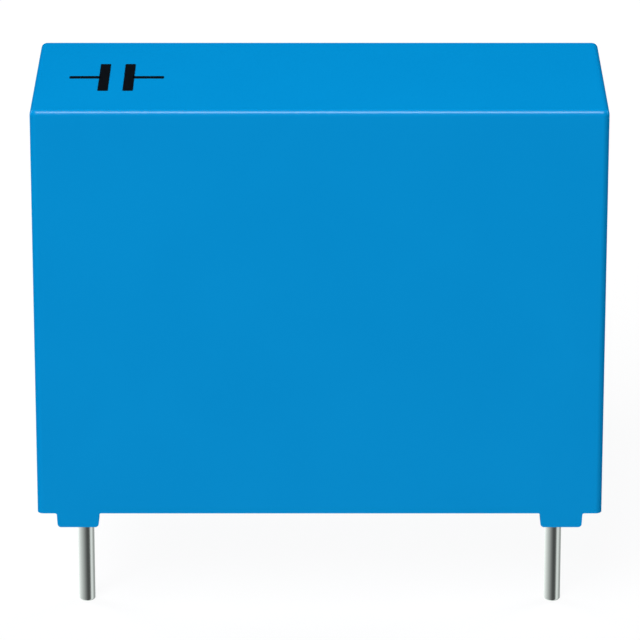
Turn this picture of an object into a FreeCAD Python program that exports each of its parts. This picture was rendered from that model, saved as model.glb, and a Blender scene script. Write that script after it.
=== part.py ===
# Box film capacitor with two radial leads, in millimetres.
# X runs along the box, the front face looks along -Y and +Z is up.
# The origin lies midway between the leads, on the board that the feet stand on.
import FreeCAD, Part
import Sketcher
import math
import os

doc = FreeCAD.newDocument("box_film_capacitor")

# Driving dimensions
sizes = {
    # outside of the box: its ends lie a margin beyond the leads, its height counts from the board
    "end_margin": 2.0,
    "thickness": 11.0,
    "height": 20.5,
    "corner_radius": 0.3,
    "top_radius": 0.25,
    # walls, with the draft in degrees that lets the moulding core out
    "end_wall": 0.9,
    "side_wall": 0.8,
    "ceiling": 1.0,
    "draft": 0.5,
    "cavity_radius": 0.6,
    "ceiling_radius": 0.3,
    # feet that keep the rim off the board
    "foot_height": 0.7,
    "foot_width": 2.0,
    "foot_tip_width": 1.92,
    "foot_corner": 0.17,
    "foot_root": 0.08,
    # leads: the wire, and its upper stretch pressed flat for the weld
    "lead_pitch": 22.5,
    "lead_diameter": 0.8,
    "lead_length": 6.0,
    "lead_reach": 14.0,
    "tip_chamfer": 0.12,
    "press_thickness": 0.4,
    "press_width": 1.28,
    "press_ramp": 1.4,
    "press_sink": 0.1,
    # winding, the metal on its ends and the resin left round it
    "spray_thickness": 0.4,
    "spray_edge": 0.15,
    "winding_side_gap": 0.25,
    "winding_top_gap": 0.8,
    "winding_cover": 1.2,
    # underside of the resin, which climbs the walls and the leads
    "resin_recess": 0.4,
    "meniscus_height": 0.35,
    "meniscus_edge": 0.05,
    "collar_height": 0.25,
}
sheet = doc.addObject("Spreadsheet::Sheet", "Sizes")
for row, (name, value) in enumerate(sizes.items(), start=1):
    sheet.set(f"A{row}", name)
    sheet.set(f"B{row}", str(value))
    sheet.setAlias(f"B{row}", name)
doc.recompute()

# Sizes that follow from them, as expressions that several pieces share
length = "(Sizes.lead_pitch + 2 * Sizes.end_margin)"
cavity_length = f"({length} - 2 * Sizes.end_wall)"
cavity_width = "(Sizes.thickness - 2 * Sizes.side_wall)"
cavity_depth = "(Sizes.height - Sizes.ceiling - Sizes.foot_height)"
cavity_shrink = f"({cavity_depth} * tan(Sizes.draft * 1 deg))"
resin_level = "(Sizes.foot_height + Sizes.resin_recess)"
meniscus_level = f"({resin_level} - Sizes.meniscus_height)"
lead_radius = "(Sizes.lead_diameter / 2)"
press_radius = "(Sizes.press_width / 2)"
press_level = f"({meniscus_level} + Sizes.press_ramp)"
spray_face = "(Sizes.lead_pitch / 2 - Sizes.press_thickness / 2 + Sizes.press_sink)"
winding_end = f"({spray_face} - Sizes.spray_thickness)"
winding_width = f"({cavity_width} - 2 * {cavity_shrink} - 2 * Sizes.winding_side_gap)"
winding_bottom = f"({resin_level} + Sizes.winding_cover)"
winding_top = "(Sizes.height - Sizes.ceiling - Sizes.winding_top_gap)"
# how near an edge lies to the plane that it is looked for in
closeness = 1e-6
upwards = FreeCAD.Vector(0, 0, 1)
backwards = FreeCAD.Vector(0, 1, 0)


def size(expression):
    result = sheet.evalExpression(expression)
    return float(getattr(result, "Value", result))


def origin_plane(body, role):
    return next(plane for plane in body.Origin.OriginFeatures if plane.Role == role)


def add_sketch(body, name, role, offset=None):
    # The offset runs along the sketch's own normal
    sketch = body.newObject("Sketcher::SketchObject", name)
    sketch.AttachmentSupport = [(origin_plane(body, role), "")]
    sketch.MapMode = "FlatFace"
    if offset:
        sketch.setExpression("AttachmentOffset.Base.z", offset)
    return sketch


def bind(sketch, label, expression, kind, *where):
    number = sketch.addConstraint(Sketcher.Constraint(kind, *where, size(expression)))
    sketch.renameConstraint(number, label)
    sketch.setExpression(f"Constraints.{label}", expression)


def add_outline(sketch, name, corners):
    # A closed outline whose corners are pairs of expressions, where None lies on the sketch's axis
    points = [FreeCAD.Vector(*[size(e) if e else 0 for e in corner], 0) for corner in corners]
    first = sketch.GeometryCount
    for start, end in zip(points, points[1:] + points[:1]):
        sketch.addGeometry(Part.LineSegment(start, end), False)
    for number, corner in enumerate(corners):
        line = first + number
        following = first + (number + 1) % len(corners)
        sketch.addConstraint(Sketcher.Constraint("Coincident", line, 2, following, 1))
        for kind, axis, expression in (("DistanceX", -2, corner[0]), ("DistanceY", -1, corner[1])):
            if expression:
                bind(sketch, f"{name}_{number}{kind[-1]}", expression, kind, -1, 1, line, 1)
            else:
                sketch.addConstraint(Sketcher.Constraint("PointOnObject", line, 1, axis))


def add_rectangle(sketch, width, depth):
    # Centred on the origin
    x, y = size(width) / 2, size(depth) / 2
    points = [FreeCAD.Vector(*corner, 0) for corner in ((-x, -y), (x, -y), (x, y), (-x, y))]
    for start, end in zip(points, points[1:] + points[:1]):
        sketch.addGeometry(Part.LineSegment(start, end), False)
    for line in range(4):
        sketch.addConstraint(Sketcher.Constraint("Coincident", line, 2, (line + 1) % 4, 1))
        sketch.addConstraint(Sketcher.Constraint("Vertical" if line % 2 else "Horizontal", line))
    sketch.addConstraint(Sketcher.Constraint("Symmetric", 0, 1, 2, 1, -1, 1))
    bind(sketch, "width", width, "DistanceX", 0, 1, 0, 2)
    bind(sketch, "depth", depth, "DistanceY", 1, 1, 1, 2)


def add_feature(body, kind, name, profile, length, **settings):
    feature = body.newObject(f"PartDesign::{kind}", name)
    feature.Profile = profile
    feature.setExpression("Length", length)
    for setting, value in settings.items():
        setattr(feature, setting, value)
    doc.recompute()
    return feature


def trim_edges(body, kind, name, amount, wanted):
    # wanted picks the edges by where they lie on the shape made so far
    base = body.Tip
    found = [f"Edge{n}" for n, edge in enumerate(base.Shape.Edges, start=1) if wanted(edge)]
    trim = body.newObject(f"PartDesign::{kind}", name)
    trim.Base = (base, found)
    trim.setExpression("Radius" if kind == "Fillet" else "Size", amount)
    doc.recompute()


def round_edges(body, name, radius, wanted):
    trim_edges(body, "Fillet", name, radius, wanted)


def lies_at(edge, level):
    return all(abs(vertex.Z - size(level)) < closeness for vertex in edge.Vertexes)


def runs_along(axis, edge):
    # At both ends, apart from what the draft tilts it
    return all(abs(edge.tangentAt(place).dot(axis)) > 0.9 for place in edge.ParameterRange)


# Case: the moulded block with its feet, hollowed by the moulding core
def make_block():
    body = doc.addObject("PartDesign::Body", "Block")
    outline = add_sketch(body, "BlockOutline", "XY_Plane", "Sizes.foot_height")
    add_rectangle(outline, length, "Sizes.thickness")
    add_feature(body, "Pad", "BlockPad", outline, "Sizes.height - Sizes.foot_height")
    round_edges(body, "BlockCorners", "Sizes.corner_radius", lambda edge: runs_along(upwards, edge))
    round_edges(body, "BlockTop", "Sizes.top_radius", lambda edge: lies_at(edge, "Sizes.height"))

    foot_sketch = add_sketch(body, "FootOutline", "XZ_Plane", "Sizes.thickness / 2")
    outer = f"({cavity_length} / 2)"
    inner = f"({outer} - Sizes.foot_width)"
    slope = "(Sizes.foot_width - Sizes.foot_tip_width) / 2"
    root = "Sizes.foot_height"
    add_outline(
        foot_sketch,
        "foot",
        [(inner, root), (f"{inner} + {slope}", None), (f"{outer} - {slope}", None), (outer, root)],
    )
    foot = add_feature(body, "Pad", "Foot", foot_sketch, "Sizes.side_wall", Reversed=True)
    feet = body.newObject("PartDesign::MultiTransform", "Feet")
    mirrors = []
    for name, role in (("FeetAcross", "YZ_Plane"), ("FeetBehind", "XZ_Plane")):
        mirror = doc.addObject("PartDesign::Mirrored", name)
        mirror.MirrorPlane = (origin_plane(body, role), [""])
        mirrors.append(mirror)
    feet.Originals = [foot]
    feet.Transformations = mirrors
    body.Tip = feet
    doc.recompute()
    round_edges(
        body,
        "FootCorners",
        "Sizes.foot_corner",
        lambda edge: runs_along(backwards, edge) and lies_at(edge, "0"),
    )
    box_end = size(f"{length} / 2") - closeness
    round_edges(
        body,
        "FootRoots",
        "Sizes.foot_root",
        lambda edge: runs_along(backwards, edge)
        and lies_at(edge, root)
        and abs(edge.CenterOfMass.x) < box_end,
    )
    return body


def make_core():
    body = doc.addObject("PartDesign::Body", "Core")
    outline = add_sketch(body, "CoreOutline", "XY_Plane", "Sizes.foot_height")
    add_rectangle(outline, cavity_length, cavity_width)
    core_pad = add_feature(body, "Pad", "CorePad", outline, cavity_depth)
    core_pad.setExpression("TaperAngle", "-Sizes.draft")
    doc.recompute()
    round_edges(body, "CoreCorners", "Sizes.cavity_radius", lambda edge: runs_along(upwards, edge))
    top = "Sizes.height - Sizes.ceiling"
    round_edges(body, "CoreTop", "Sizes.ceiling_radius", lambda edge: lies_at(edge, top))
    return body


# Lead: a round wire, pressed flat where it lies against the winding's end
def make_lead(side):
    name = "Left" if side < 0 else "Right"
    body = doc.addObject("PartDesign::Body", f"Lead{name}")
    body.setExpression("Placement.Base.x", f"{side} * Sizes.lead_pitch / 2")
    profile = add_sketch(body, f"WireProfile{name}", "XZ_Plane")
    add_outline(
        profile,
        "wire",
        [
            (None, "-Sizes.lead_length"),
            (f"{lead_radius} - Sizes.tip_chamfer", "-Sizes.lead_length"),
            (lead_radius, "Sizes.tip_chamfer - Sizes.lead_length"),
            (lead_radius, meniscus_level),
            (press_radius, press_level),
            (press_radius, "Sizes.lead_reach"),
            (None, "Sizes.lead_reach"),
        ],
    )
    wire = body.newObject("PartDesign::Revolution", f"Wire{name}")
    wire.Profile = profile
    wire.ReferenceAxis = (profile, ["V_Axis"])
    wire.Angle = 360
    doc.recompute()
    flats = add_sketch(body, f"Flats{name}", "XZ_Plane")
    for sign in ("", "-"):
        add_outline(
            flats,
            "flat" if sign else "other_flat",
            [
                (f"{sign}{press_radius}", meniscus_level),
                (f"{sign}Sizes.press_thickness / 2", press_level),
                (f"{sign}Sizes.press_thickness / 2", "Sizes.lead_reach"),
                (f"{sign}{press_radius}", "Sizes.lead_reach"),
            ],
        )
    add_feature(body, "Pocket", f"Press{name}", flats, "Sizes.press_width", SideType="Symmetric")
    return body


# Winding: film wound on a flat mandrel and pressed, with sprayed metal on both ends
def add_oblong(sketch):
    # Two straight sides joined by half circles, on the sketch's vertical axis
    half = size(winding_width) / 2
    low, high = size(winding_bottom) + half, size(winding_top) - half
    across = FreeCAD.Vector(0, 0, 1)
    right = Part.LineSegment(FreeCAD.Vector(half, low, 0), FreeCAD.Vector(half, high, 0))
    left = Part.LineSegment(FreeCAD.Vector(-half, high, 0), FreeCAD.Vector(-half, low, 0))
    crown = Part.ArcOfCircle(Part.Circle(FreeCAD.Vector(0, high, 0), across, half), 0, math.pi)
    base = Part.ArcOfCircle(Part.Circle(FreeCAD.Vector(0, low, 0), across, half), math.pi, 2 * math.pi)
    for piece in (right, crown, left, base):
        sketch.addGeometry(piece, False)
    for piece in range(4):
        sketch.addConstraint(Sketcher.Constraint("Tangent", piece, 2, (piece + 1) % 4, 1))
    sketch.addConstraint(Sketcher.Constraint("Vertical", 0))
    sketch.addConstraint(Sketcher.Constraint("Equal", 1, 3))
    sketch.addConstraint(Sketcher.Constraint("PointOnObject", 1, 3, -2))
    bind(sketch, "radius", f"{winding_width} / 2", "Radius", 1)
    bind(sketch, "crown_centre", f"{winding_top} - {winding_width} / 2", "DistanceY", -1, 1, 1, 3)
    bind(sketch, "base_centre", f"{winding_bottom} + {winding_width} / 2", "DistanceY", -1, 1, 3, 3)


def make_winding():
    body = doc.addObject("PartDesign::Body", "Winding")
    outline = add_sketch(body, "WindingOutline", "YZ_Plane")
    add_oblong(outline)
    add_feature(body, "Pad", "WindingPad", outline, f"2 * {winding_end}", SideType="Symmetric")
    return body


def make_spray(side):
    name = "Left" if side < 0 else "Right"
    body = doc.addObject("PartDesign::Body", f"Spray{name}")
    outline = add_sketch(body, f"SprayOutline{name}", "YZ_Plane", f"{side} * {winding_end}")
    add_oblong(outline)
    add_feature(body, "Pad", f"SprayPad{name}", outline, "Sizes.spray_thickness", Reversed=side < 0)
    face = size(f"{side} * {spray_face}")
    trim_edges(
        body,
        "Chamfer",
        f"SprayEdge{name}",
        "Sizes.spray_edge",
        lambda edge: abs(edge.CenterOfMass.x - face) < closeness,
    )
    return body


# Underside of the resin, as the empty space below it
def make_underside():
    body = doc.addObject("PartDesign::Body", "Underside")
    mouth = add_sketch(body, "MouthOutline", "XY_Plane", "Sizes.foot_height")
    add_rectangle(mouth, cavity_length, cavity_width)
    add_feature(body, "Pad", "MouthPad", mouth, "Sizes.resin_recess - Sizes.meniscus_height")
    pool = add_sketch(body, "PoolOutline", "XY_Plane", meniscus_level)
    inset = "2 * Sizes.meniscus_edge"
    add_rectangle(pool, f"{cavity_length} - {inset}", f"{cavity_width} - {inset}")
    add_feature(body, "Pad", "PoolPad", pool, "Sizes.meniscus_height")
    round_edges(
        body,
        "PoolCorners",
        "Sizes.cavity_radius - Sizes.meniscus_edge",
        lambda edge: runs_along(upwards, edge) and edge.CenterOfMass.z > size(meniscus_level),
    )
    round_edges(
        body,
        "PoolMeniscus",
        "Sizes.meniscus_height - Sizes.meniscus_edge",
        lambda edge: lies_at(edge, resin_level),
    )
    collar = body.newObject("PartDesign::Groove", "Collar")
    collar.Profile = add_collar_profile(body)
    collar.ReferenceAxis = (collar.Profile[0], ["V_Axis"])
    collar.Angle = 360
    collars = body.newObject("PartDesign::Mirrored", "Collars")
    collars.Originals = [collar]
    collars.MirrorPlane = (origin_plane(body, "YZ_Plane"), [""])
    body.Tip = collars
    doc.recompute()
    return body


def add_collar_profile(body):
    # Resin drawn up round a lead in a quarter circle; the sketch's vertical axis is the lead's
    sketch = add_sketch(body, "CollarProfile", "XZ_Plane")
    sketch.setExpression("AttachmentOffset.Base.x", "Sizes.lead_pitch / 2")
    collar_face = f"({lead_radius} + Sizes.meniscus_edge)"
    face, top, radius = size(collar_face), size(resin_level), size("Sizes.collar_height")
    tip = top - radius
    corners = [(face + radius, top), (0, top), (0, tip), (face, tip)]
    points = [FreeCAD.Vector(*corner, 0) for corner in corners]
    for start, end in zip(points[:-1], points[1:]):
        sketch.addGeometry(Part.LineSegment(start, end), False)
    circle = Part.Circle(FreeCAD.Vector(face + radius, tip, 0), FreeCAD.Vector(0, 0, 1), radius)
    sketch.addGeometry(Part.ArcOfCircle(circle, math.pi / 2, math.pi), False)
    for line in (0, 1):
        sketch.addConstraint(Sketcher.Constraint("Coincident", line, 2, line + 1, 1))
    for line, kind in enumerate(("Horizontal", "Vertical", "Horizontal")):
        sketch.addConstraint(Sketcher.Constraint(kind, line))
    sketch.addConstraint(Sketcher.Constraint("Tangent", 0, 1, 3, 1))
    sketch.addConstraint(Sketcher.Constraint("Coincident", 2, 2, 3, 2))
    sketch.addConstraint(Sketcher.Constraint("Horizontal", 2, 2, 3, 3))
    sketch.addConstraint(Sketcher.Constraint("PointOnObject", 1, 1, -2))
    bind(sketch, "face", collar_face, "DistanceX", 2, 1, 2, 2)
    bind(sketch, "top", resin_level, "DistanceY", -1, 1, 0, 2)
    bind(sketch, "radius", "Sizes.collar_height", "Radius", 3)
    return sketch


def cut_away(name, label, base, tool):
    result = doc.addObject("Part::Cut", name)
    result.Base = base
    result.Tool = tool
    result.Refine = True
    result.Label = label
    return result


core = make_core()
case = cut_away("Case", "case", make_block(), core)
leads = [make_lead(side) for side in (-1, 1)]
winding = make_winding()
sprays = []
for side, lead in zip((-1, 1), leads):
    label = "left" if side < 0 else "right"
    lead.Label = f"lead_{label}"
    sprays.append(cut_away(f"EndSpray{label.title()}", f"end_spray_{label}", make_spray(side), lead))
winding.Label = "film_winding"
enclosed = doc.addObject("Part::MultiFuse", "Enclosed")
enclosed.Shapes = [make_underside(), winding, *sprays, *leads]
resin = cut_away("Resin", "potting_resin", core, enclosed)
doc.recompute()

# Nothing is written unless every piece is sound
pieces = [case, resin, winding, *sprays, *leads]
for item in doc.Objects:
    if "Invalid" in item.State or "Error" in item.State:
        raise RuntimeError(f"{item.Name} did not build: {item.State}")
for piece in pieces:
    if piece.Shape.isNull() or not piece.Shape.isValid() or len(piece.Shape.Solids) != 1:
        raise RuntimeError(f"{piece.Label} is not one valid solid")

os.makedirs("parts", exist_ok=True)
for piece in pieces:
    piece.Shape.exportStep(f"parts/{piece.Label}.step")
    print(f"{piece.Label:16} {piece.Shape.Volume:9.3f} mm3, {len(piece.Shape.Faces)} faces")
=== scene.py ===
import math

import bmesh
import bpy
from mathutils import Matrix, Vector


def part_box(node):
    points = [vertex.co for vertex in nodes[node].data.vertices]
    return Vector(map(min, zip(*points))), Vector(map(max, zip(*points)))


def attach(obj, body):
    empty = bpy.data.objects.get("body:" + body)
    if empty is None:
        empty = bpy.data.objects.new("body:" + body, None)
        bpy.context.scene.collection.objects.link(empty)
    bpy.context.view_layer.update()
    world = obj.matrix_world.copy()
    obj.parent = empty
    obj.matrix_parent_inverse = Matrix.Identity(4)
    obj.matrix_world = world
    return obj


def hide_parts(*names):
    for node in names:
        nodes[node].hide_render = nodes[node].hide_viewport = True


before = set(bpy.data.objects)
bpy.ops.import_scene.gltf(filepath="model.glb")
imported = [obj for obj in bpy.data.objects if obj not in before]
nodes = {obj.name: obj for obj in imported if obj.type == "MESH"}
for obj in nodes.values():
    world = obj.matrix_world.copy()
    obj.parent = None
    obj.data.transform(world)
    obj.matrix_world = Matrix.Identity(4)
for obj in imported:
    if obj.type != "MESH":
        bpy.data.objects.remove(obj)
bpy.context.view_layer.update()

mm = 0.001  # the frame is in metres, and the sizes below read in millimetres
scene = bpy.context.scene
print("frame loaded:", len(nodes), "nodes")


# Small helpers

def hexColour(code):
    # sRGB as it is picked from a screen, to the linear colour that a shader takes
    channels = [int(code[i:i + 2], 16) / 255 for i in (1, 3, 5)]
    return [c / 12.92 if c <= 0.04045 else ((c + 0.055) / 1.055) ** 2.4 for c in channels] + [1]


def grey(level):
    return [level, level, level, 1]


def perMetre(sizeInMm):
    return 1 / (sizeInMm * mm)  # a texture's scale from the size of one feature


def addNode(tree, kind, sockets=None, **settings):
    # sockets: name or number -> a value, an output to link from, or a node whose first output it takes
    node = tree.nodes.new(kind)
    for name, value in settings.items():
        setattr(node, name, value)
    for name, value in (sockets or {}).items():
        if isinstance(value, bpy.types.Node):
            value = value.outputs[0]
        if isinstance(value, bpy.types.NodeSocket):
            tree.links.new(value, node.inputs[name])
        else:
            node.inputs[name].default_value = value
    return node


def startMaterial(name):
    material = bpy.data.materials.new(name)
    material.use_nodes = True
    tree = material.node_tree
    tree.nodes.clear()
    return material, tree


def endMaterial(tree, shader):
    addNode(tree, "ShaderNodeOutputMaterial", {"Surface": shader})


def setRamp(ramp, stops):
    elements = ramp.color_ramp.elements
    while len(elements) > 1:
        elements.remove(elements[-1])
    elements[0].position, elements[0].color = stops[0]
    for place, colour in stops[1:]:
        elements.new(place).color = colour


def addObject(name, data):
    item = bpy.data.objects.new(name, data)
    scene.collection.objects.link(item)
    return item


def addMesh(name, work, material):
    # The object of what bmesh has built
    mesh = bpy.data.meshes.new(name)
    work.to_mesh(mesh)
    work.free()
    mesh.materials.append(material)
    return addObject(name, mesh)


# Camera: a long lens from 20 degrees above, square to the front, as the picture was taken

cameraView = {
    "lens": 278.13,
    "sensor": 36,
    "elevation": 19.968,     # degrees above the horizon
    "distance": 234.80,      # from the point it looks at
    "target": (0.019, 0, 8.367),
    "nearest": 10,           # what is closer to the lens isn't drawn
}


def makeCamera(view):
    camera = addObject("camera", bpy.data.cameras.new("camera"))
    tilt = math.radians(view["elevation"])
    back = Vector((0, -math.cos(tilt), math.sin(tilt)))
    camera.location = (Vector(view["target"]) + back * view["distance"]) * mm
    camera.rotation_euler = (math.radians(90) - tilt, 0, 0)
    camera.data.lens = view["lens"]
    camera.data.sensor_width = view["sensor"]
    camera.data.clip_start = view["nearest"] * mm
    scene.camera = camera


makeCamera(cameraView)
print("camera placed")


# Studio: pale floor, soft lamps, a card that only gloss sees, and panels for the wires and the resin

studio = {
    "floorHeight": -6.0,     # the lead tips stand on it
    "floorSize": 6000,
    "floorWhite": "#F4F5F6",
    "floorShade": 0.10,      # how much of the floor's own shade the camera sees
    "aimHeight": 8,          # every lamp points at the middle of the object, this far up
    "lamps": {
        # name: (azimuth from the front, elevation, distance, size, level, seen by gloss, seen by diffuse)
        "frontLamp": (-20, 41, 520, 260, 1.19, False, True),
        "leftLamp": (-126, 22, 520, 240, 0.73, False, True),
        "rightLamp": (124, 22, 520, 240, 0.73, False, True),
        "underLamp": (0, -90, 300, 532, 1.55, False, True),
        "edgeCard": (0, 69, 260, 130, 5.8, True, False),  # the bright line along the front top edge
    },
    "around": 0.02,          # light from everywhere, for matt surfaces
    "dark": 0.01,            # the dim room that the satin plastic mirrors
    "panels": {
        # a drum of soft boxes, closed above and below, that only the wires and the resin mirror
        "radius": 300,
        "height": 900,
        "sides": 72,
        # degrees round from the front, and how bright the panel is there
        "levels": [(-180, 1.25), (-131, 1.22), (-104, 0.95), (-83, 0.79), (-65, 0.63), (-48, 0.50),
                   (-34, 0.38), (-18, 0.25), (-5, 0.16), (10, 0.09), (30, 0.09), (44, 0.15), (62, 0.85),
                   (80, 0.95), (95, 0.62), (114, 0.40), (135, 0.42), (160, 0.90), (180, 1.25)],
    },
}


def makeLamp(name, aimHeight, azimuth, elevation, distance, size, level, glossy, diffuse):
    lamp = addObject(name, bpy.data.lights.new(name, "AREA"))
    turn, rise = math.radians(azimuth), math.radians(elevation)
    away = Vector((math.sin(turn) * math.cos(rise), -math.cos(turn) * math.cos(rise), math.sin(rise)))
    lamp.location = (Vector((0, 0, aimHeight)) + away * distance) * mm
    lamp.rotation_euler = away.to_track_quat("Z", "Y").to_euler()
    lamp.data.shape = "RECTANGLE"
    lamp.data.size = lamp.data.size_y = size * mm
    # A level of 1 shows a facing matt surface as its colour is written, and a card itself as plain white
    if diffuse:
        lamp.data.energy = level * (math.pi * distance * mm) ** 2
    else:
        lamp.data.energy = level * math.pi * (size * mm) ** 2
    lamp.visible_glossy = glossy
    lamp.visible_diffuse = diffuse
    lamp.visible_camera = False


def makeWorld(light):
    world = bpy.data.worlds.new("studio")
    world.use_nodes = True
    tree = world.node_tree
    tree.nodes.clear()
    rays = addNode(tree, "ShaderNodeLightPath").outputs
    matt = addNode(tree, "ShaderNodeBackground", {"Color": grey(1), "Strength": light["around"]})
    glossy = addNode(tree, "ShaderNodeBackground", {"Color": grey(1), "Strength": light["dark"]})
    white = addNode(tree, "ShaderNodeBackground", {"Color": grey(1), "Strength": 1.0})
    bounced = addNode(tree, "ShaderNodeMixShader", {"Fac": rays["Is Glossy Ray"], 1: matt, 2: glossy})
    seen = addNode(tree, "ShaderNodeMixShader", {"Fac": rays["Is Camera Ray"], 1: bounced, 2: white})
    addNode(tree, "ShaderNodeOutputWorld", {"Surface": seen})
    world.cycles.sampling_method = "NONE"  # so that matt and glossy surfaces each see their own light
    scene.world = world


def makePanels(look):
    # The brightness goes by the direction round the upright axis, from the back over the front to the back
    material, tree = startMaterial("soft_boxes")
    place = addNode(tree, "ShaderNodeTexCoord").outputs["Object"]
    x, y = addNode(tree, "ShaderNodeSeparateXYZ", {"Vector": place}).outputs[:2]
    forward = addNode(tree, "ShaderNodeMath", {0: y, 1: -1.0}, operation="MULTIPLY")
    turn = addNode(tree, "ShaderNodeMath", {0: x, 1: forward}, operation="ARCTAN2")
    share = addNode(tree, "ShaderNodeMapRange", {"Value": turn, "From Min": -math.pi, "From Max": math.pi})
    bright = addNode(tree, "ShaderNodeValToRGB", {"Fac": share})
    setRamp(bright, [((degrees + 180) / 360, grey(level)) for degrees, level in look["levels"]])
    endMaterial(tree, addNode(tree, "ShaderNodeEmission", {"Color": bright, "Strength": 1.0}))
    radius = look["radius"] * mm
    work = bmesh.new()
    bmesh.ops.create_cone(work, cap_ends=True, segments=look["sides"], radius1=radius, radius2=radius,
                          depth=look["height"] * mm)
    panels = addMesh("panels", work, material)
    panels.visible_camera = panels.visible_shadow = False
    panels.visible_diffuse = panels.visible_transmission = False
    return panels


def makeFloor(look):
    # Pale painted board: the camera sees it white, with the object's own soft shade kept on it
    material, tree = startMaterial("painted_floor")
    paint = addNode(tree, "ShaderNodeBsdfDiffuse", {"Color": hexColour(look["floorWhite"])})
    white = addNode(tree, "ShaderNodeEmission", {"Color": grey(1), "Strength": 1.0})
    pale = addNode(tree, "ShaderNodeMixShader", {"Fac": look["floorShade"], 1: white, 2: paint})
    # from below, the camera looks through the board at the object's underside
    backside = addNode(tree, "ShaderNodeNewGeometry").outputs["Backfacing"]
    clear = addNode(tree, "ShaderNodeBsdfTransparent")
    board = addNode(tree, "ShaderNodeMixShader", {"Fac": backside, 1: pale, 2: clear})
    toCamera = addNode(tree, "ShaderNodeLightPath").outputs["Is Camera Ray"]
    endMaterial(tree, addNode(tree, "ShaderNodeMixShader", {"Fac": toCamera, 1: paint, 2: board}))
    half, height = look["floorSize"] / 2 * mm, look["floorHeight"] * mm
    corners = [(-half, -half, height), (half, -half, height), (half, half, height), (-half, half, height)]
    mesh = bpy.data.meshes.new("floor")
    mesh.from_pydata(corners, [], [(0, 1, 2, 3)])
    mesh.materials.append(material)
    floor = addObject("floor", mesh)
    floor.visible_glossy = False  # the wires see the panels instead
    floor.visible_diffuse = False
    floor.visible_shadow = False


for lampName, lampSettings in studio["lamps"].items():
    makeLamp(lampName, studio["aimHeight"], *lampSettings)
makeWorld(studio)
makeFloor(studio)
panels = makePanels(studio["panels"])
scene.view_settings.view_transform = "Standard"
print("studio lit")


# Materials

noiseLow, noiseHigh = 0.3, 0.7  # nearly all that a noise pattern gives lies between these
mouldGrain = 0.09               # about 0.04 on the real one, drawn coarser so that a pixel can show it


def mouldedPbt():
    # Polybutylene terephthalate, injection moulded in a fine spark-eroded mould: an even satin blue
    # with a grain of a few microns, which only softens the edge highlights
    material, tree = startMaterial("moulded_pbt")
    place = addNode(tree, "ShaderNodeTexCoord").outputs["Object"]
    grain = addNode(tree, "ShaderNodeTexNoise", {"Vector": place, "Scale": perMetre(mouldGrain),
                                                 "Detail": 2.0, "Roughness": 0.6})
    # pigment and flow marks, some 6 mm long, hardly seen
    flow = addNode(tree, "ShaderNodeTexNoise", {"Vector": place, "Scale": perMetre(6.0), "Detail": 3.0,
                                                "Distortion": 0.6})
    tone = addNode(tree, "ShaderNodeValToRGB", {"Fac": flow})
    setRamp(tone, [(noiseLow, hexColour("#008FD3")), (noiseHigh, hexColour("#0191D5"))])
    satin = addNode(tree, "ShaderNodeMapRange", {
        "Value": grain, "From Min": noiseLow, "From Max": noiseHigh, "To Min": 0.28, "To Max": 0.33})
    bump = addNode(tree, "ShaderNodeBump", {"Height": grain, "Strength": 0.15, "Distance": 0.004 * mm})
    endMaterial(tree, addNode(tree, "ShaderNodeBsdfPrincipled", {
        "Base Color": tone, "Roughness": satin, "Normal": bump, "IOR": 1.57}))
    return material


def castEpoxy():
    # Two-part epoxy poured in and cured: a glossy slate blue skin, slightly wavy, with a few pinholes
    material, tree = startMaterial("cast_epoxy")
    place = addNode(tree, "ShaderNodeTexCoord").outputs["Object"]
    # clouds of unevenly stirred pigment, 3 mm across
    cloud = addNode(tree, "ShaderNodeTexNoise", {"Vector": place, "Scale": perMetre(3.0), "Detail": 4.0})
    tone = addNode(tree, "ShaderNodeValToRGB", {"Fac": cloud})
    setRamp(tone, [(noiseLow, hexColour("#3B5872")), (noiseHigh, hexColour("#456681"))])
    gloss = addNode(tree, "ShaderNodeMapRange", {
        "Value": cloud, "From Min": noiseLow, "From Max": noiseHigh, "To Min": 0.16, "To Max": 0.24})
    # waves 2.5 mm long where the skin shrank
    wave = addNode(tree, "ShaderNodeTexNoise", {"Vector": place, "Scale": perMetre(2.5), "Detail": 1.0})
    waves = addNode(tree, "ShaderNodeBump", {"Height": wave, "Strength": 0.5, "Distance": 0.12 * mm})
    # pinholes about 1.6 mm apart, with rims 0.06 to 0.10 of that from their middles
    hole = addNode(tree, "ShaderNodeTexVoronoi", {"Vector": place, "Scale": perMetre(1.6)})
    pit = addNode(tree, "ShaderNodeMapRange", {"Value": hole, "From Min": 0.06, "From Max": 0.10},
                  interpolation_type="SMOOTHSTEP")
    pits = addNode(tree, "ShaderNodeBump", {"Height": pit, "Strength": 0.6, "Distance": 0.05 * mm,
                                            "Normal": waves})
    endMaterial(tree, addNode(tree, "ShaderNodeBsdfPrincipled", {
        "Base Color": tone, "Roughness": gloss, "Normal": pits, "IOR": 1.55}))
    return material


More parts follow.
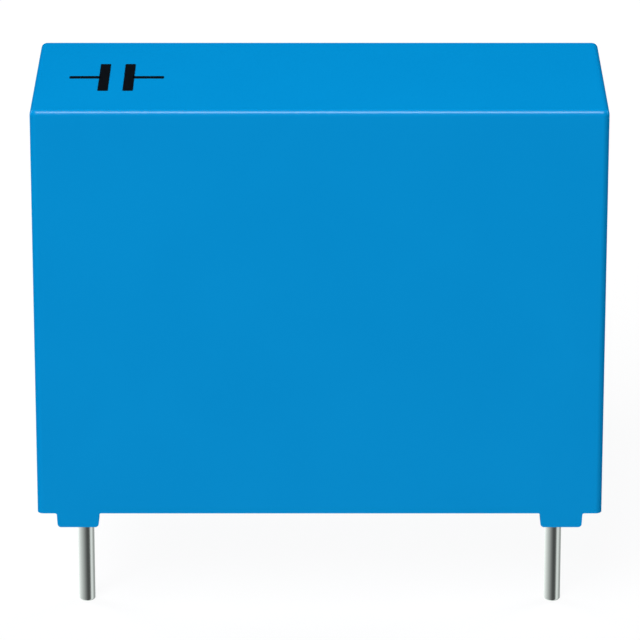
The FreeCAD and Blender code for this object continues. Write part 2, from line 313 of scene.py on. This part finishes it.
def tinnedCopper():
    # Copper wire drawn through a die and dipped in tin: a bright grey skin with faint lines along it,
    # and bare copper only on the sheared end
    material, tree = startMaterial("tinned_copper")
    place = addNode(tree, "ShaderNodeTexCoord").outputs["Object"]
    # die lines 0.05 mm apart round the wire and about 4 mm long
    stretched = addNode(tree, "ShaderNodeMapping", {
        "Vector": place, "Scale": (perMetre(0.05), perMetre(0.05), perMetre(4.0))})
    lines = addNode(tree, "ShaderNodeTexNoise", {"Vector": stretched, "Scale": 1.0, "Detail": 2.0})
    dull = addNode(tree, "ShaderNodeMapRange", {
        "Value": lines, "From Min": noiseLow, "From Max": noiseHigh, "To Min": 0.10, "To Max": 0.20})
    bump = addNode(tree, "ShaderNodeBump", {"Height": lines, "Strength": 0.10, "Distance": 0.003 * mm})
    cutEnd = addNode(tree, "ShaderNodeAttribute", attribute_name="cutEnd").outputs["Fac"]
    metal = addNode(tree, "ShaderNodeMix", {"Factor": cutEnd, "A": hexColour("#D8E0DC"),
                                            "B": hexColour("#C98F6B")}, data_type="RGBA")
    endMaterial(tree, addNode(tree, "ShaderNodeBsdfPrincipled", {
        "Base Color": metal.outputs["Result"], "Metallic": 1.0, "Roughness": dull, "Normal": bump}))
    return material


def sprayedZinc():
    # Molten zinc blown on as droplets: a matt grey crust of splats
    material, tree = startMaterial("sprayed_zinc")
    place = addNode(tree, "ShaderNodeTexCoord").outputs["Object"]
    # splats 0.18 mm across, under a dust whose tone changes every 0.3 mm
    splat = addNode(tree, "ShaderNodeTexVoronoi", {"Vector": place, "Scale": perMetre(0.18)},
                    feature="SMOOTH_F1")
    dust = addNode(tree, "ShaderNodeTexNoise", {"Vector": place, "Scale": perMetre(0.3), "Detail": 5.0})
    tone = addNode(tree, "ShaderNodeValToRGB", {"Fac": dust})
    setRamp(tone, [(noiseLow, hexColour("#86898B")), (noiseHigh, hexColour("#B4B6B6"))])
    dull = addNode(tree, "ShaderNodeMapRange", {"Value": splat, "To Min": 0.45, "To Max": 0.75})
    bump = addNode(tree, "ShaderNodeBump", {"Height": splat, "Strength": 0.9, "Distance": 0.06 * mm},
                   invert=True)
    endMaterial(tree, addNode(tree, "ShaderNodeBsdfPrincipled", {
        "Base Color": tone, "Metallic": 0.9, "Roughness": dull, "Normal": bump}))
    return material


def woundFilm():
    # Polypropylene film with evaporated metal, wound and pressed flat: silvery, with the bare margin
    # of the film near each end and fine ridges where the edges of the turns step
    material, tree = startMaterial("wound_film")
    place = addNode(tree, "ShaderNodeTexCoord").outputs["Object"]
    # the metal fades out from 9.0 to 9.2 mm off the middle
    x = addNode(tree, "ShaderNodeSeparateXYZ", {"Vector": place}).outputs["X"]
    away = addNode(tree, "ShaderNodeMath", {0: x}, operation="ABSOLUTE")
    margin = addNode(tree, "ShaderNodeMapRange", {
        "Value": away, "From Min": 9.0 * mm, "From Max": 9.2 * mm})
    film = addNode(tree, "ShaderNodeMix", {"Factor": margin, "A": hexColour("#9FA6AC"),
                                           "B": hexColour("#C9CBC6")}, data_type="RGBA")
    # winding ridges 0.35 mm apart along the film's width
    waveLength = 2 * math.pi / 20  # between the texture's own ridges, at a scale of 1
    ridges = addNode(tree, "ShaderNodeTexWave", {
        "Vector": place, "Scale": perMetre(0.35) * waveLength, "Distortion": 0.6, "Detail": 2.0},
        bands_direction="X").outputs["Fac"]
    dull = addNode(tree, "ShaderNodeMapRange", {"Value": ridges, "To Min": 0.22, "To Max": 0.30})
    bump = addNode(tree, "ShaderNodeBump", {"Height": ridges, "Strength": 0.3, "Distance": 0.01 * mm})
    endMaterial(tree, addNode(tree, "ShaderNodeBsdfPrincipled", {
        "Base Color": film.outputs["Result"], "Metallic": 0.35, "Roughness": dull, "Normal": bump,
        "IOR": 1.49}))
    return material


def printedInk():
    # Two-part pad-printing ink, cured: a thin satin black that follows the grain beneath
    material, tree = startMaterial("pad_printed_ink")
    place = addNode(tree, "ShaderNodeTexCoord").outputs["Object"]
    grain = addNode(tree, "ShaderNodeTexNoise", {"Vector": place, "Scale": perMetre(mouldGrain),
                                                 "Detail": 2.0})
    tone = addNode(tree, "ShaderNodeValToRGB", {"Fac": grain})
    setRamp(tone, [(0.35, hexColour("#06090D")), (0.75, hexColour("#10151B"))])
    dull = addNode(tree, "ShaderNodeMapRange", {
        "Value": grain, "From Min": noiseLow, "From Max": noiseHigh, "To Min": 0.34, "To Max": 0.46})
    bump = addNode(tree, "ShaderNodeBump", {"Height": grain, "Strength": 0.2, "Distance": 0.004 * mm})
    endMaterial(tree, addNode(tree, "ShaderNodeBsdfPrincipled", {
        "Base Color": tone, "Roughness": dull, "Normal": bump, "IOR": 1.5}))
    return material


def dress(nodeName, material):
    for slot in nodes[nodeName].material_slots:
        slot.material = material


finishes = {
    "case": mouldedPbt(),
    "potting_resin": castEpoxy(),
    "end_spray": sprayedZinc(),
    "film_winding": woundFilm(),
    "lead": tinnedCopper(),
    "ink": printedInk(),
}
dress("case", finishes["case"])
dress("potting_resin", finishes["potting_resin"])
dress("end_spray_left", finishes["end_spray"])
dress("end_spray_right", finishes["end_spray"])
print("moulded case, resin and end sprays dressed")


# Case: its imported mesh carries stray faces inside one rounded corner, which show as a hairline there

mirrorWeld = 0.001  # points of the two halves that are closer than this become one


def mirrorQuarter(piece):
    # The moulding is alike on both sides of its middle, both ways, so its plainest quarter stands for all
    points = {(sideX, sideY): 0 for sideX in (-1, 1) for sideY in (-1, 1)}
    for vertex in piece.data.vertices:
        points[math.copysign(1, vertex.co.x), math.copysign(1, vertex.co.y)] += 1
    keptX, keptY = min(points, key=points.get)
    mirror = piece.modifiers.new("mirroredQuarter", "MIRROR")
    mirror.use_axis = mirror.use_bisect_axis = (True, True, False)
    mirror.use_bisect_flip_axis = (keptX < 0, keptY < 0, False)
    mirror.bisect_threshold = mirror.merge_threshold = mirrorWeld * mm
    return sorted(points.values())


print("case mirrored from one quarter, points in each:", mirrorQuarter(nodes["case"]))


# Geometry trees: each starts with its named inputs and ends in a plain, dressed mesh

def startTree(name, numbers, counts):
    tree = bpy.data.node_groups.new(name, "GeometryNodeTree")
    face = tree.interface
    face.new_socket("Geometry", in_out="INPUT", socket_type="NodeSocketGeometry")
    for label in numbers:
        face.new_socket(label, in_out="INPUT", socket_type="NodeSocketFloat")
    for label in counts:
        face.new_socket(label, in_out="INPUT", socket_type="NodeSocketInt")
    face.new_socket("Material", in_out="INPUT", socket_type="NodeSocketMaterial")
    face.new_socket("Geometry", in_out="OUTPUT", socket_type="NodeSocketGeometry")
    return tree, addNode(tree, "NodeGroupInput").outputs


def unitTube(tree, rings, profile):
    # A closed tube from 0 to 1 up the z axis, for a rule to put every ring in its place
    line = addNode(tree, "GeometryNodeCurvePrimitiveLine", {"Start": (0, 0, 0), "End": (0, 0, 1)})
    spaced = addNode(tree, "GeometryNodeResampleCurve", {"Curve": line, "Count": rings})
    tube = addNode(tree, "GeometryNodeCurveToMesh", {"Curve": spaced, "Profile Curve": profile,
                                                     "Fill Caps": True})
    position = addNode(tree, "GeometryNodeInputPosition")
    return tube, addNode(tree, "ShaderNodeSeparateXYZ", {"Vector": position}).outputs


def endTree(tree, shaped, isFlat, material):
    isRound = addNode(tree, "FunctionNodeBooleanMath", {0: isFlat}, operation="NOT")
    smooth = addNode(tree, "GeometryNodeSetShadeSmooth", {"Geometry": shaped, "Shade Smooth": isRound})
    real = addNode(tree, "GeometryNodeRealizeInstances", {"Geometry": smooth})
    dressed = addNode(tree, "GeometryNodeSetMaterial", {"Geometry": real, "Material": material})
    addNode(tree, "NodeGroupOutput", {"Geometry": dressed})


def grow(name, tree, inputs):
    # Runs a tree on an empty mesh and keeps what it makes as a plain mesh
    seed = addObject(name + "_seed", bpy.data.meshes.new(name + "_seed"))
    modifier = seed.modifiers.new(tree.name, "NODES")
    modifier.node_group = tree
    identifiers = {item.name: item.identifier for item in tree.interface.items_tree
                   if item.item_type == "SOCKET" and item.in_out == "INPUT"}
    for label, value in inputs.items():
        modifier[identifiers[label]] = value
    graph = bpy.context.evaluated_depsgraph_get()
    mesh = bpy.data.meshes.new_from_object(seed.evaluated_get(graph))
    mesh.name = name
    seed.modifiers.remove(modifier)
    bpy.data.objects.remove(seed)
    return addObject(name, mesh)


def pointOutwards(piece):
    samePlace = 1e-8  # metres: points nearer to each other than this become one
    work = bmesh.new()
    work.from_mesh(piece.data)
    bmesh.ops.remove_doubles(work, verts=work.verts, dist=samePlace)
    bmesh.ops.recalc_face_normals(work, faces=work.faces)
    work.to_mesh(piece.data)
    work.free()


# Leads: round wire with a nipped tip, pressed flat where it is sunk into the end spray

lead = {
    "radius": 0.40,
    "centre": 11.25,         # from the middle, each side
    "tip": -6.0,
    "top": 14.0,
    "tipRound": 0.13,        # height of the rounding that the cutter leaves
    "tipFlat": 0.66,         # share of the radius that is flat on the end
    "pressFrom": 0.75,       # the press starts at the resin's surface
    "pressTo": 2.15,
    "pressedThickness": 0.40,
    "pressedWidth": 1.28,
    "endFacing": 0.99,       # a face whose normal points this far along z is one of the two ends
    "rings": 150,
    "sides": 64,
}


def wireTree(endFacing):
    tree, given = startTree("pressedWire", (
        "Radius", "Centre", "Tip", "Top", "Tip Round", "Tip Flat", "Press From", "Press To",
        "Half Thickness", "Half Width"), ("Rings", "Sides"))
    circle = addNode(tree, "GeometryNodeCurvePrimitiveCircle", {
        "Resolution": given["Sides"], "Radius": 1.0})
    tube, (x, y, up) = unitTube(tree, given["Rings"], circle)

    # the rings crowd towards the tip, as the square of their number
    rise = addNode(tree, "ShaderNodeMath", {0: up, 1: up}, operation="MULTIPLY")
    height = addNode(tree, "ShaderNodeMapRange", {
        "Value": rise, "To Min": given["Tip"], "To Max": given["Top"]})

    # the tip swells in a quarter circle, from the flat on its end to the full radius
    fromTip = addNode(tree, "ShaderNodeMath", {0: height, 1: given["Tip"]}, operation="SUBTRACT")
    share = addNode(tree, "ShaderNodeMath", {0: fromTip, 1: given["Tip Round"]}, operation="DIVIDE")
    short = addNode(tree, "ShaderNodeMath", {0: 1.0, 1: share}, operation="SUBTRACT", use_clamp=True)
    squared = addNode(tree, "ShaderNodeMath", {0: short, 1: short}, operation="MULTIPLY")
    left = addNode(tree, "ShaderNodeMath", {0: 1.0, 1: squared}, operation="SUBTRACT")
    bulge = addNode(tree, "ShaderNodeMath", {0: left}, operation="SQRT")
    nip = addNode(tree, "ShaderNodeMapRange", {"Value": bulge, "To Min": given["Tip Flat"], "To Max": 1.0})

    # under the press the round spreads, and both its sides stop at the flats
    pressed = addNode(tree, "ShaderNodeMapRange", {
        "Value": height, "From Min": given["Press From"], "From Max": given["Press To"]},
        interpolation_type="SMOOTHERSTEP")
    spread = addNode(tree, "ShaderNodeMapRange", {
        "Value": pressed, "To Min": given["Radius"], "To Max": given["Half Width"]})
    flat = addNode(tree, "ShaderNodeMapRange", {
        "Value": pressed, "To Min": given["Radius"], "To Max": given["Half Thickness"]})
    otherFlat = addNode(tree, "ShaderNodeMath", {0: flat, 1: -1.0}, operation="MULTIPLY")
    reach = addNode(tree, "ShaderNodeMath", {0: nip, 1: spread}, operation="MULTIPLY")
    unpressed = addNode(tree, "ShaderNodeMath", {0: x, 1: reach}, operation="MULTIPLY")
    across = addNode(tree, "ShaderNodeClamp", {"Value": unpressed, "Min": otherFlat, "Max": flat})
    newX = addNode(tree, "ShaderNodeMath", {0: across, 1: given["Centre"]}, operation="ADD")
    newY = addNode(tree, "ShaderNodeMath", {0: y, 1: reach}, operation="MULTIPLY")
    place = addNode(tree, "ShaderNodeCombineXYZ", {"X": newX, "Y": newY, "Z": height})
    shaped = addNode(tree, "GeometryNodeSetPosition", {"Geometry": tube, "Position": place})

    # the two end faces are flat, and the lower one shows the copper
    facing = addNode(tree, "GeometryNodeInputNormal")
    upright = addNode(tree, "ShaderNodeSeparateXYZ", {"Vector": facing}).outputs["Z"]
    either = addNode(tree, "ShaderNodeMath", {0: upright}, operation="ABSOLUTE")
    isEnd = addNode(tree, "FunctionNodeCompare", {"A": either, "B": endFacing}, operation="GREATER_THAN")
    isCut = addNode(tree, "FunctionNodeCompare", {"A": upright, "B": -endFacing}, operation="LESS_THAN")
    marked = addNode(tree, "GeometryNodeStoreNamedAttribute", {
        "Geometry": shaped, "Name": "cutEnd", "Value": isCut}, data_type="FLOAT", domain="FACE")
    endTree(tree, marked, isEnd, given["Material"])
    return tree


mirrorsPanels = bpy.data.collections.new("mirrors_the_panels")
mirrorsPanels.objects.link(nodes["potting_resin"])
pressedWire = wireTree(lead["endFacing"])
for side, nodeName in ((-1, "lead_left"), (1, "lead_right")):
    wire = grow("tinned_" + nodeName, pressedWire, {
        "Radius": lead["radius"] * mm, "Centre": side * lead["centre"] * mm,
        "Tip": lead["tip"] * mm, "Top": lead["top"] * mm,
        "Tip Round": lead["tipRound"] * mm, "Tip Flat": lead["tipFlat"],
        "Press From": lead["pressFrom"] * mm, "Press To": lead["pressTo"] * mm,
        "Half Thickness": lead["pressedThickness"] / 2 * mm, "Half Width": lead["pressedWidth"] / 2 * mm,
        "Rings": lead["rings"], "Sides": lead["sides"], "Material": finishes["lead"]})
    pointOutwards(wire)
    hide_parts(nodeName)
    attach(wire, "root")
    mirrorsPanels.objects.link(wire)
    print(wire.name, "grown:", len(wire.data.polygons), "faces")
panels.light_linking.receiver_collection = mirrorsPanels


# Winding: one ribbon of film rolled up flat, which the end sprays close

winding = {
    "turns": 20,             # some 30 times coarser than the real film, which is about 0.007 mm thick
    "core": 0.35,            # half the slot that the mandrel leaves
    "airGap": 0.02,          # between one turn and the next
    "squeeze": 7.0,          # how soon a round end passes into a flat side
    "stepsInTurn": 80,
    "edgeFacing": 0.9,       # a face whose normal points this far along x is the film's edge
}


def ribbonTree(edgeFacing):
    tree, given = startTree("rolledFilm", (
        "Half Width", "Outer", "Middle", "Half Flat", "Pitch", "Thickness", "Turns", "Squeeze"), ("Rings",))
    square = addNode(tree, "GeometryNodeCurvePrimitiveQuadrilateral", {"Width": 2.0, "Height": 2.0})
    tube, (side, skin, along) = unitTube(tree, given["Rings"], square)

    # each turn lies one pitch further in, with the film's two skins half its thickness off its middle
    turned = addNode(tree, "ShaderNodeMath", {0: along, 1: given["Turns"]}, operation="MULTIPLY")
    halfThick = addNode(tree, "ShaderNodeMath", {0: given["Thickness"], 1: 0.5}, operation="MULTIPLY")
    inwards = addNode(tree, "ShaderNodeMath", {0: turned, 1: given["Pitch"], 2: halfThick},
                      operation="MULTIPLY_ADD")
    middle = addNode(tree, "ShaderNodeMath", {0: given["Outer"], 1: inwards}, operation="SUBTRACT")
    reach = addNode(tree, "ShaderNodeMath", {0: skin, 1: halfThick, 2: middle}, operation="MULTIPLY_ADD")

    # the upper and the lower half circle of a turn stand apart by the flat sides between them
    angle = addNode(tree, "ShaderNodeMath", {0: turned, 1: 2 * math.pi}, operation="MULTIPLY")
    upward = addNode(tree, "ShaderNodeMath", {0: angle}, operation="SINE")
    outward = addNode(tree, "ShaderNodeMath", {0: angle}, operation="COSINE")
    steep = addNode(tree, "ShaderNodeMath", {0: upward, 1: given["Squeeze"]}, operation="MULTIPLY")
    flat = addNode(tree, "ShaderNodeClamp", {"Value": steep, "Min": -1.0, "Max": 1.0})
    level = addNode(tree, "ShaderNodeMath", {0: flat, 1: given["Half Flat"], 2: given["Middle"]},
                    operation="MULTIPLY_ADD")
    newX = addNode(tree, "ShaderNodeMath", {0: side, 1: given["Half Width"]}, operation="MULTIPLY")
    newY = addNode(tree, "ShaderNodeMath", {0: reach, 1: outward}, operation="MULTIPLY")
    newZ = addNode(tree, "ShaderNodeMath", {0: reach, 1: upward, 2: level}, operation="MULTIPLY_ADD")
    place = addNode(tree, "ShaderNodeCombineXYZ", {"X": newX, "Y": newY, "Z": newZ})
    shaped = addNode(tree, "GeometryNodeSetPosition", {"Geometry": tube, "Position": place})

    # the film's two edges stay flat
    facing = addNode(tree, "GeometryNodeInputNormal")
    lengthways = addNode(tree, "ShaderNodeSeparateXYZ", {"Vector": facing}).outputs["X"]
    either = addNode(tree, "ShaderNodeMath", {0: lengthways}, operation="ABSOLUTE")
    isEdge = addNode(tree, "FunctionNodeCompare", {"A": either, "B": edgeFacing}, operation="GREATER_THAN")
    endTree(tree, shaped, isEdge, given["Material"])
    return tree


def rollFilm(look):
    low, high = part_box("film_winding")
    outer = (high.y - low.y) / 2
    pitch = (outer - look["core"] * mm) / look["turns"]
    film = grow("wound_film", ribbonTree(look["edgeFacing"]), {
        "Half Width": (high.x - low.x) / 2, "Outer": outer, "Middle": (high.z + low.z) / 2,
        "Half Flat": (high.z - low.z) / 2 - outer, "Pitch": pitch, "Thickness": pitch - look["airGap"] * mm,
        "Turns": float(look["turns"]), "Squeeze": look["squeeze"],
        "Rings": look["turns"] * look["stepsInTurn"] + 1, "Material": finishes["film_winding"]})
    pointOutwards(film)
    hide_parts("film_winding")
    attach(film, "root")
    return film


film = rollFilm(winding)
print(film.name, "rolled:", len(film.data.polygons), "faces")


# Print: a plain circuit symbol of two plates and their wires, thin ink on the top face

symbol = {
    "centre": (-9.45, -0.3),
    "length": 4.4,           # along the case
    "plateWidth": 4.2,
    "plateThick": 0.48,
    "gap": 0.68,
    "lineThick": 0.36,
    "overlap": 0.06,         # of a line's end into its plate
    "rounding": 0.05,
    "roundingSteps": 5,
    "ink": 0.012,            # height above the plastic
    "sink": 0.004,           # depth of its foot in the plastic, so that no gap shows
}


def roundedBlock(work, low, high, bottom, top, radius, steps):
    # One closed slab with rounded corners
    centres = ((high[0] - radius, high[1] - radius), (low[0] + radius, high[1] - radius),
               (low[0] + radius, low[1] + radius), (high[0] - radius, low[1] + radius))
    rim = []
    for quarter, (centreX, centreY) in enumerate(centres):
        for step in range(steps + 1):
            angle = math.radians(90 * quarter + 90 * step / steps)
            rim.append((centreX + radius * math.cos(angle), centreY + radius * math.sin(angle)))
    rings = [[work.verts.new((x * mm, y * mm, level * mm)) for x, y in rim] for level in (bottom, top)]
    work.faces.new(rings[0][::-1])
    work.faces.new(rings[1])
    for i in range(len(rim)):
        j = (i + 1) % len(rim)
        work.faces.new((rings[0][i], rings[0][j], rings[1][j], rings[1][i]))


def printSymbol(look):
    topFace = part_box("case")[1].z / mm
    x, y = look["centre"]
    bottom, top = topFace - look["sink"], topFace + look["ink"]
    half, plate, line = look["length"] / 2, look["plateWidth"] / 2, look["lineThick"] / 2
    inner, outer = look["gap"] / 2, look["gap"] / 2 + look["plateThick"]
    work = bmesh.new()
    for side in (-1, 1):
        for near, far, width in ((inner, outer, plate), (outer - look["overlap"], half, line)):
            ends = sorted((x + side * near, x + side * far))
            roundedBlock(work, (ends[0], y - width), (ends[1], y + width), bottom, top, look["rounding"],
                         look["roundingSteps"])
    bmesh.ops.recalc_face_normals(work, faces=work.faces)
    piece = addMesh("printed_symbol", work, finishes["ink"])
    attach(piece, "root")


printSymbol(symbol)
print("symbol printed on the top")
